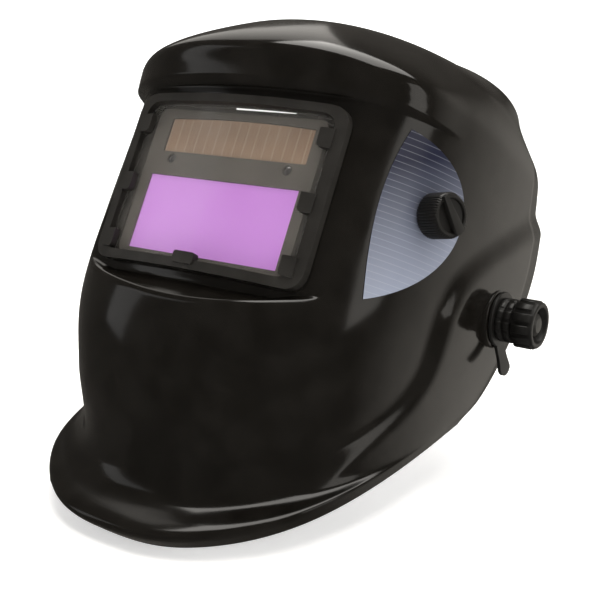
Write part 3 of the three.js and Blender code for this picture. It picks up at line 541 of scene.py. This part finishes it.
# ---------------------------------------------------------------- printed side panels
def print_outline():
    """Side view of the printed panel: two round stretches and a slightly hollow front edge."""
    def bezier(a, b, c, d, n=26):
        t = np.linspace(0, 1, n, endpoint=False)[:, None]
        a, b, c, d = (np.array(p, float) for p in (a, b, c, d))
        u = 1 - t
        return a * u ** 3 + 3 * b * u * u * t + 3 * c * u * t * t + d * t ** 3

    return np.vstack([bezier((4, -30), (34, -30), (74, -20), (75, 10)),
                      bezier((75, 10), (75, 26), (62, 40), (50, 49)),
                      bezier((50, 49), (36, 34), (16, 6), (4, -30))])


def side_print(tree, side, name):
    edge = print_outline()
    middle = np.array([42.0, 4.0])
    rings = np.linspace(0.02, 1, 40)[:, None, None]
    flat = middle + (edge - middle) * rings
    verts = []
    for y, z in flat.reshape(-1, 2):
        start = Vector((side * 200, y, z))
        hit, normal, _, _ = tree.ray_cast(start, Vector((-side, 0, 0)))
        lifted = hit + normal * 0.5 if normal.x * side > 0 else hit - normal * 0.5
        verts.append(lifted)
    faces = strip_faces(len(rings), len(edge), 0, True)
    faces.append(tuple(range(len(edge)))[::-1])
    if side < 0:
        faces = [face[::-1] for face in faces]
    node = f"side_print_{name}"
    return new_piece(f"printed_film_{name}", verts, faces, "shell_body", "print_blue", node)


# ---------------------------------------------------------------- knobs
def ribs(count, depth, inside=13.0):
    """Broad ribs with narrow grooves between them, on the parts wider than inside."""
    def radius(turn, r):
        wave = np.clip(np.cos(turn * count) * 2.2 + 1.5, 0, 1)
        return r - depth * (1 - wave) if r > inside else plain(turn, r)
    return radius


def tension_knob(side, name):
    start, end = PAD + 11.6, PAD + 24.6
    profile = [(start, 5), (start, 11.6), (start + 0.6, 12.4), (start + 1.2, 12.6),
               (start + 1.4, 13.8), (end - 2.4, 13.8), (end - 2.2, 13), (end - 0.5, 12.9),
               (end, 12.4), (end, 10.4), (end - 0.5, 9.9), (end - 5, 9.2), (end - 5, 5)]
    verts, faces = lathe(profile, ribs(12, 0.9), 360, PIVOT, side)
    return new_piece(f"fluted_knob_{name}", verts, faces[:-2], f"knob_{name}_body",
                     "knob_matt", f"tension_knob_{name}")


def collar(side, name):
    start, end = PAD + 2.9, PAD + 11.2
    profile = [(start, 5), (start, 11.9), (start + 0.5, 12.4), (start + 3, 12.4),
               (start + 3.3, 11.6), (start + 3.8, 11.6), (start + 4.1, 12.4), (end - 0.5, 12.4),
               (end, 11.9), (end, 5)]
    verts, faces = lathe(profile, ribs(12, 0.5, 12.2), 360, PIVOT, side)
    return new_piece(f"collar_{name}", verts, faces[:-2], "head_gear", "knob_matt",
                     f"pivot_collar_{name}")


def plain(turn, r):
    return np.full(turn.shape, float(r))


PADDLE_REACH, PADDLE_HALF = 32.5, 6.6


def stop_plate(side, name):
    """Thin disc on the pivot with a paddle below that bends outward to a round end."""
    start, end = PAD + 0.5, PAD + 2.5
    disc = [(start, 5), (start, 15.1), (start + 0.4, 15.5), (end - 0.4, 15.5), (end, 15.1), (end, 5)]
    verts, faces = lathe(disc, plain, 120, PIVOT, side)
    along = np.linspace(0, 1, 30)
    down = 12 + (PADDLE_REACH - 12) * along
    outward = 3.6 * smooth(0.1, 1, along)
    end_arc = np.sqrt(np.clip(1 - (np.maximum(along - 0.72, 0) / 0.28) ** 2, 0.02, 1))
    half = PADDLE_HALF * end_arc * (1 - 0.25 * np.sin(math.pi * np.clip(along / 0.8, 0, 1)))
    share = np.linspace(-1, 1, 15)

    def level(x):
        grid = np.empty((len(along), len(share), 3))
        grid[..., 0] = side * (x + outward)[:, None]
        grid[..., 1] = share[None] * half[:, None]
        grid[..., 2] = -down[:, None]
        return grid + PIVOT

    far, near = level(end - 0.1), level(start + 0.1)
    outer, inner = (far, near) if side > 0 else (near, far)
    blade, blade_faces = closed_slab(outer, inner)
    shift = len(verts)
    faces = faces[:-2] + [tuple(k + shift for k in face) for face in blade_faces]
    piece = new_piece(f"stop_paddle_{name}", np.vstack([verts, blade]), faces,
                      f"stop_{name}_body", "knob_matt", f"stop_plate_{name}")
    add_bevel(piece, 0.3)
    return piece


DIAL_POINTER = math.radians(-22)  # narrow end of the wedge, from straight up, minus is forward
WEDGE_BROAD, WEDGE_NARROW = 3.1, 1.3  # half widths of its two ends
DIAL_RIDGES = 48


def dial_ridges(turn, r):
    """Fine ridges, with one smooth raised stretch on top."""
    if r < 11:
        return plain(turn, r)
    flat = np.abs((turn + math.pi) % (2 * math.pi) - math.pi) < 0.5
    ridged = r - 0.55 * (np.cos(turn * DIAL_RIDGES) < 0)
    return np.where(flat, r + 0.15, ridged)


def shade_dial():
    """Ridged drum with a recessed face and a raised wedge that points at the setting."""
    joint = JOINTS["shade_dial_turn"]
    normal = np.array(joint["axis"])
    up = np.array([0, 0, 1]) - normal[2] * normal
    up /= np.linalg.norm(up)
    sideways = np.cross(up, normal)
    seat = np.array(joint["pos_m"]) * 1000 - SHIFT
    profile = [(1.2, 4), (1.2, 11.2), (1.9, 11.8), (13.6, 11.8), (14.6, 11.2), (15.2, 10.3),
               (15.2, 9.1), (14.9, 8.8), (13.8, 8.6)]
    verts, faces = lathe(profile, dial_ridges, 10 * DIAL_RIDGES, np.zeros(3))
    spine = np.array([[-10.4, WEDGE_BROAD], [-10.4, -WEDGE_BROAD],
                      [11.2, -WEDGE_NARROW], [11.2, WEDGE_NARROW]])
    turn = DIAL_POINTER
    place = np.stack([spine[:, 0] * math.cos(turn) - spine[:, 1] * math.sin(turn),
                      spine[:, 0] * math.sin(turn) + spine[:, 1] * math.cos(turn)], 1)
    wedge = [(x, *point) for x in (13.0, 16.9) for point in place]
    n = len(verts)
    faces = faces[:-2] + [faces[-1]]
    faces += [(n + i, n + (i + 1) % 4, n + 4 + (i + 1) % 4, n + 4 + i) for i in range(4)]
    faces += [(n + 3, n + 2, n + 1, n), (n + 4, n + 5, n + 6, n + 7)]
    local = np.vstack([verts, wedge])
    points = seat + local[:, :1] * normal + local[:, 1:2] * up + local[:, 2:] * sideways
    piece = new_piece("ridged_shade_dial", points, faces, "shade_dial_body", "knob_matt",
                      "shade_dial")
    add_bevel(piece, 0.25)
    return piece


# ---------------------------------------------------------------- pads
def padded_from(node, name, body):
    """Foam pad: the node's form, remeshed with softened corners."""
    source = frame["nodes"][node]
    piece = source.copy()
    piece.data = source.data.copy()
    piece.name = name
    piece.data.name = name
    bpy.context.scene.collection.objects.link(piece)
    piece.modifiers.clear()
    piece.hide_render = False
    remesh = piece.modifiers.new("even mesh", "REMESH")
    remesh.mode = "VOXEL"
    remesh.voxel_size = 0.0014
    remesh.use_smooth_shade = True
    relax = piece.modifiers.new("soft corners", "SMOOTH")
    relax.factor = 0.5
    relax.iterations = 9
    piece.data.materials.clear()
    piece.data.materials.append(MATERIALS["pad_foam"])
    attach(piece, body)
    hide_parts(node)
    return piece


# ---------------------------------------------------------------- frame nodes that stay
def dress_nodes(replaced):
    shading = soft_shading()
    for name, node in frame["nodes"].items():
        if name in replaced:
            continue
        node.data.materials.clear()
        node.data.materials.append(MATERIALS[SLOTS[name]])
        if name not in ("outer_cover_lens", "inner_cover_lens", "dial_cord"):
            add_bevel(node, 0.35)
        modifier = node.modifiers.new("shading", "NODES")
        modifier.node_group = shading


# ---------------------------------------------------------------- studio
def softbox(name, place, target, size, power, color=(1, 1, 1)):
    light = bpy.data.lights.new(name, "AREA")
    light.shape = "RECTANGLE"
    light.size, light.size_y = size
    light.energy = power
    light.color = color
    lamp = bpy.data.objects.new(name, light)
    lamp.location = place
    lamp.rotation_euler = (Vector(target) - Vector(place)).to_track_quat("-Z", "Y").to_euler()
    bpy.context.scene.collection.objects.link(lamp)


def paper(name, glow, verts, faces):
    """Stage piece of matt white paper that gives off a little light of its own."""
    mesh = bpy.data.meshes.new(name)
    mesh.from_pydata(verts, [], faces)
    mesh.polygons.foreach_set("use_smooth", [True] * len(mesh.polygons))
    sheet = bpy.data.objects.new(name, mesh)
    bpy.context.scene.collection.objects.link(sheet)
    material, tree, bsdf = shader(name)
    tree.links.new(ramp(tree, noise(tree, 6), (0.88,) * 3, (0.9,) * 3), bsdf.inputs["Base Color"])
    bsdf.inputs["Roughness"].default_value = 0.8
    bsdf.inputs["Emission Color"].default_value = (1, 1, 1, 1)
    bsdf.inputs["Emission Strength"].default_value = glow
    mesh.materials.append(material)
    sheet.visible_glossy = False
    return sheet


def dim_room():
    """Dark warm room with a bright wall low behind the wearer's left side."""
    world = bpy.data.worlds.new("studio")
    world.use_nodes = True
    tree = world.node_tree
    coord = tree.nodes.new("ShaderNodeTexCoord")
    towards = tree.nodes.new("ShaderNodeVectorMath")
    towards.operation = "DOT_PRODUCT"
    towards.inputs[1].default_value = (0.57, 0.80, -0.17)
    tree.links.new(coord.outputs["Generated"], towards.inputs[0])
    tone = ramp(tree, towards.outputs["Value"], (0.10, 0.093, 0.083), (0.9, 0.85, 0.77), 0.72, 0.99)
    tree.links.new(tone, tree.nodes["Background"].inputs["Color"])
    bpy.context.scene.world = world


def studio():
    dim_room()
    bpy.context.scene.view_settings.view_transform = "Standard"
    softbox("overhead", (0.05, 0.25, 1.5), (0, 0, 0.15), (1.5, 1.1), 26, (1, 0.97, 0.92))
    softbox("brow", (-1.0, 0.85, 1.25), (0, 0, 0.15), (1.1, 1.0), 3.6, (1, 0.96, 0.9))
    softbox("left", (-1.1, -0.8, 0.7), (0, 0, 0.12), (0.35, 0.8), 0.7)
    softbox("right", (1.4, -0.1, 0.6), (0, 0, 0.12), (0.5, 0.9), 2.4, (1, 0.96, 0.9))
    half = 4
    floor = [(-half, -half, 0), (half, -half, 0), (half, half, 0), (-half, half, 0)]
    paper("floor", 0.5, floor, [(0, 1, 2, 3)])
    count = 48
    bend = [2 * math.pi * i / count for i in range(count)]
    radius, height = 3.9, 3.2
    wall = [(radius * math.cos(a), radius * math.sin(a), z) for z in (0, height) for a in bend]
    around = [(i, (i + 1) % count, (i + 1) % count + count, i + count) for i in range(count)]
    sheet = paper("backdrop", 1.0, wall, around)
    fade_backdrop(sheet)


def fade_backdrop(sheet):
    """The paper glows behind the helmet and falls off softly towards its front."""
    tree = sheet.data.materials[0].node_tree
    coord = tree.nodes.new("ShaderNodeTexCoord")
    towards = tree.nodes.new("ShaderNodeVectorMath")
    towards.operation = "DOT_PRODUCT"
    towards.inputs[1].default_value = (-0.147, 0.21, 0)
    tree.links.new(coord.outputs["Object"], towards.inputs[0])
    dim, bright = (0.09, 0.085, 0.078), (1.0, 1.0, 1.0)
    tone = ramp(tree, towards.outputs["Value"], dim, bright, 0.36, 0.86)
    tree.links.new(tone, tree.nodes["Principled BSDF"].inputs["Emission Color"])


def camera():
    azimuth, elevation = math.radians(34.86), math.radians(15.43)
    back = Vector((math.sin(azimuth) * math.cos(elevation),
                   -math.cos(azimuth) * math.cos(elevation), math.sin(elevation)))
    data = bpy.data.cameras.new("camera")
    data.sensor_width = 36
    data.lens = 64.7
    eye = bpy.data.objects.new("camera", data)
    eye.location = (np.array([353.2, -428.8, 111.3]) + SHIFT) / 1000
    eye.rotation_euler = back.to_track_quat("Z", "Y").to_euler()
    bpy.context.scene.collection.objects.link(eye)
    bpy.context.scene.camera = eye


# ---------------------------------------------------------------- assembly
camera()
studio()
outer_skin = build_shell()
rows, cols = outer_skin.shape[:2]
skin_tree = BVHTree.FromPolygons(outer_skin.reshape(-1, 3).tolist(), strip_faces(rows, cols))
for side, name in ((1, "left"), (-1, "right")):
    pivot_boss(side, name)
    side_print(skin_tree, side, name)
    tension_knob(side, name)
    collar(side, name)
    stop_plate(side, name)
shade_dial()
padded_from("brow_pad", "brow_cushion", "head_gear")
padded_from("nape_pad", "nape_cushion", "head_gear")
SIDED = ("side_print", "tension_knob", "pivot_collar", "stop_plate")
dress_nodes({"shell", "shade_dial", "brow_pad", "nape_pad"}
            | {f"{kind}_{side}" for kind in SIDED for side in ("left", "right")})
